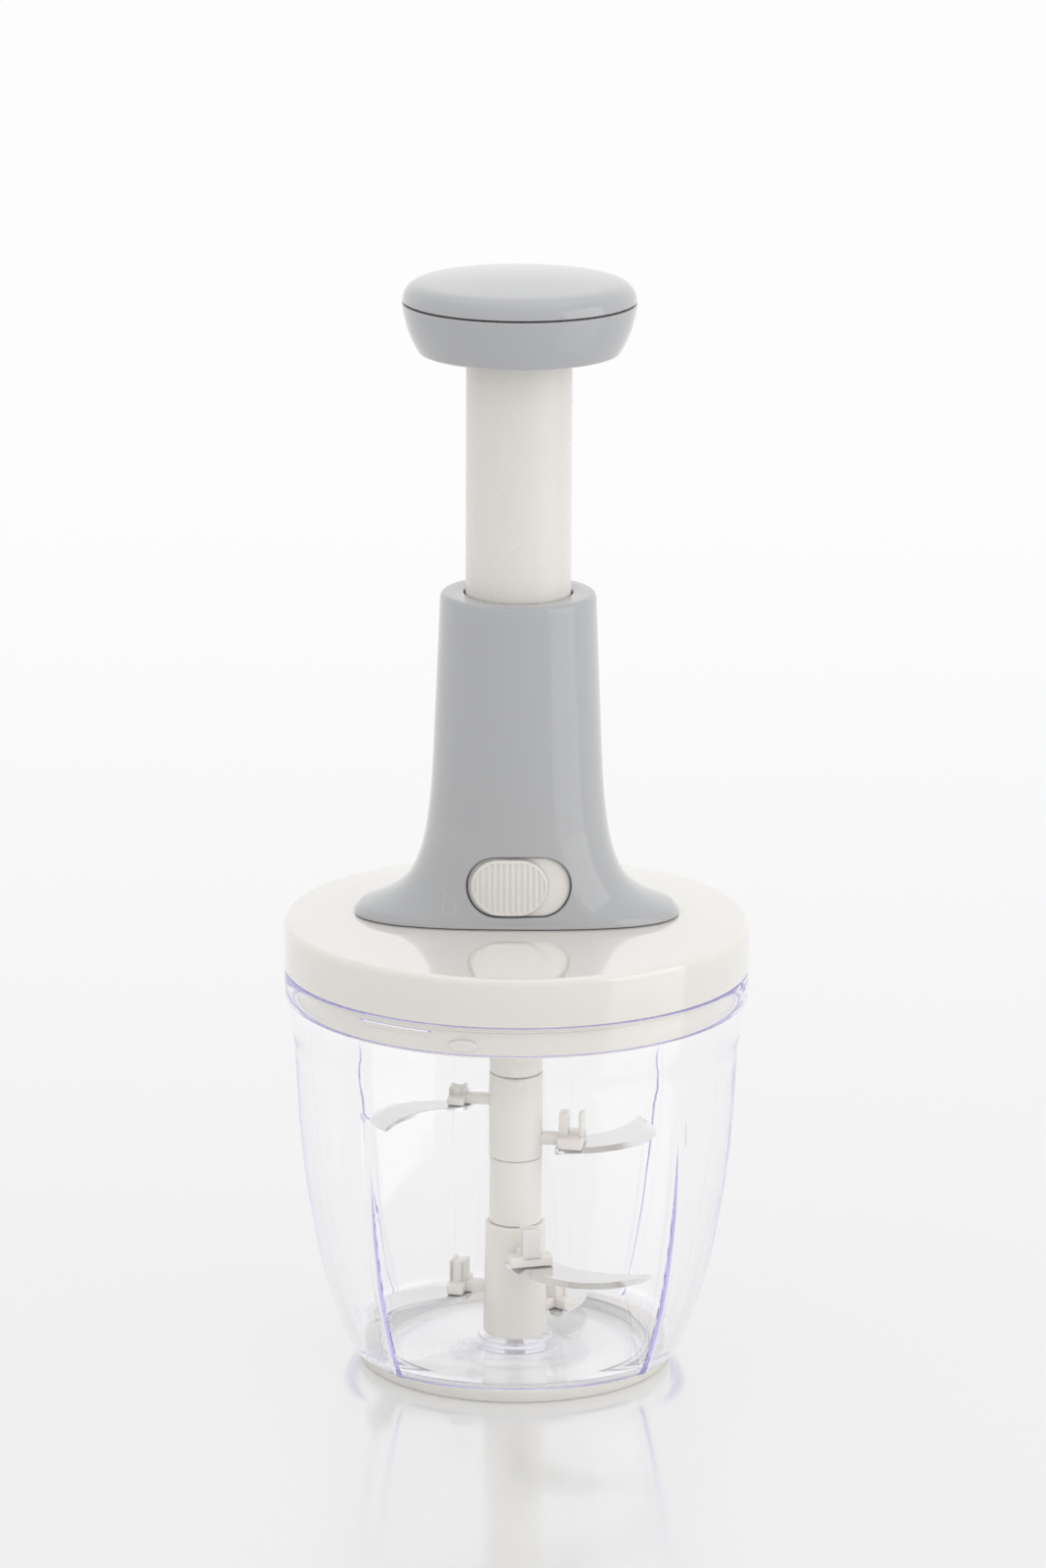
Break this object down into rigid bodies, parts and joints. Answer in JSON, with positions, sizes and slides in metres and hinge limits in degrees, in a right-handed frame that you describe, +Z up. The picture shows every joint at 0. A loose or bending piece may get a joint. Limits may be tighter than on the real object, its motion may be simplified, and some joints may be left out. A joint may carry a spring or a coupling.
{
  "type": "plunger food chopper",
  "caption": "Clear round bowl with a spindle of curved blades under a twist-on lid, turned by pushing a round knob on a sprung plunger.",
  "frame": {"origin": "centre of the base ring on the table", "axes": "+Z up along the plunger's axis, -Y toward the front with the lock slider, +X to the right seen from the front"},
  "size_m": [0.1248, 0.1248, 0.2965],
  "materials": {
    "clear_plastic": "clear polished",
    "white_plastic": "gloss",
    "grey_plastic": "high gloss",
    "acetal": "satin",
    "soft_rubber": "matt",
    "steel": "brushed"
  },
  "bodies": {
    "bowl": {"bowl": "clear_plastic", "base_ring": "soft_rubber", "pivot_pin": "steel"},
    "seal": {"seal_ring": "soft_rubber"},
    "lid": {"inner_lid": "white_plastic", "lid_cover": "white_plastic", "tower": "grey_plastic", "guide_tube": "white_plastic", "slider_retainer": "white_plastic", "spring_seat": "steel", "return_spring": "steel", "tower_screw_1": "steel", "tower_screw_2": "steel", "tower_screw_3": "steel", "tower_screw_4": "steel", "clutch_cover": "white_plastic", "cover_screw_1": "steel", "cover_screw_2": "steel", "cover_screw_3": "steel", "thrust_washer": "steel", "ratchet_spring": "steel"},
    "plunger": {"plunger_tube": "white_plastic", "drive_nut": "acetal", "knob_base": "grey_plastic", "knob_cap": "grey_plastic", "knob_screw": "steel"},
    "drive": {"twist_rod": "steel", "ratchet_driver": "acetal", "drive_screw": "steel"},
    "socket": {"drive_socket": "acetal"},
    "blades": {"blade_spindle": "acetal", "lower_hub": "white_plastic", "spacer_sleeve": "white_plastic", "upper_hub": "white_plastic", "blade_lower_1": "steel", "blade_lower_2": "steel", "blade_lower_3": "steel", "blade_upper_1": "steel", "blade_upper_2": "steel"},
    "slider": {"lock_slider": "white_plastic"}
  },
  "joints": [
    {"name": "lid_lift", "type": "slide", "parent": "bowl", "child": "seal", "axis": [0, 0, 1], "range_m": [0, 0.12]},
    {"name": "lid_turn", "type": "hinge", "parent": "seal", "child": "lid", "pos_m": [0, 0, 0.11], "axis": [0, 0, 1], "range_deg": [-20, 0]},
    {"name": "plunger_press", "type": "slide", "parent": "lid", "child": "plunger", "axis": [0, 0, -1], "range_m": [0, 0.06], "stiffness_N_per_m": 250, "springref_m": -0.03, "deforming": ["return_spring"]},
    {"name": "drive_spin", "type": "hinge", "parent": "lid", "child": "drive", "pos_m": [0, 0, 0.105], "axis": [0, 0, 1], "range_deg": [-676, 0]},
    {"name": "socket_spin", "type": "hinge", "parent": "lid", "child": "socket", "pos_m": [0, 0, 0.09], "axis": [0, 0, 1], "range_deg": [-676, 0]},
    {"name": "blade_spin", "type": "hinge", "parent": "bowl", "child": "blades", "pos_m": [0, 0, 0.04], "axis": [0, 0, 1], "range_deg": [-676, 0]},
    {"name": "lock_slide", "type": "slide", "parent": "lid", "child": "slider", "axis": [1, 0, 0], "range_m": [0, 0.0058]}
  ],
  "couplings": [
    {"joint": "drive_spin", "follows": "plunger_press", "rad_per_m": -196.35},
    {"joint": "socket_spin", "follows": "plunger_press", "rad_per_m": -196.35},
    {"joint": "blade_spin", "follows": "plunger_press", "rad_per_m": -196.35}
  ]
}
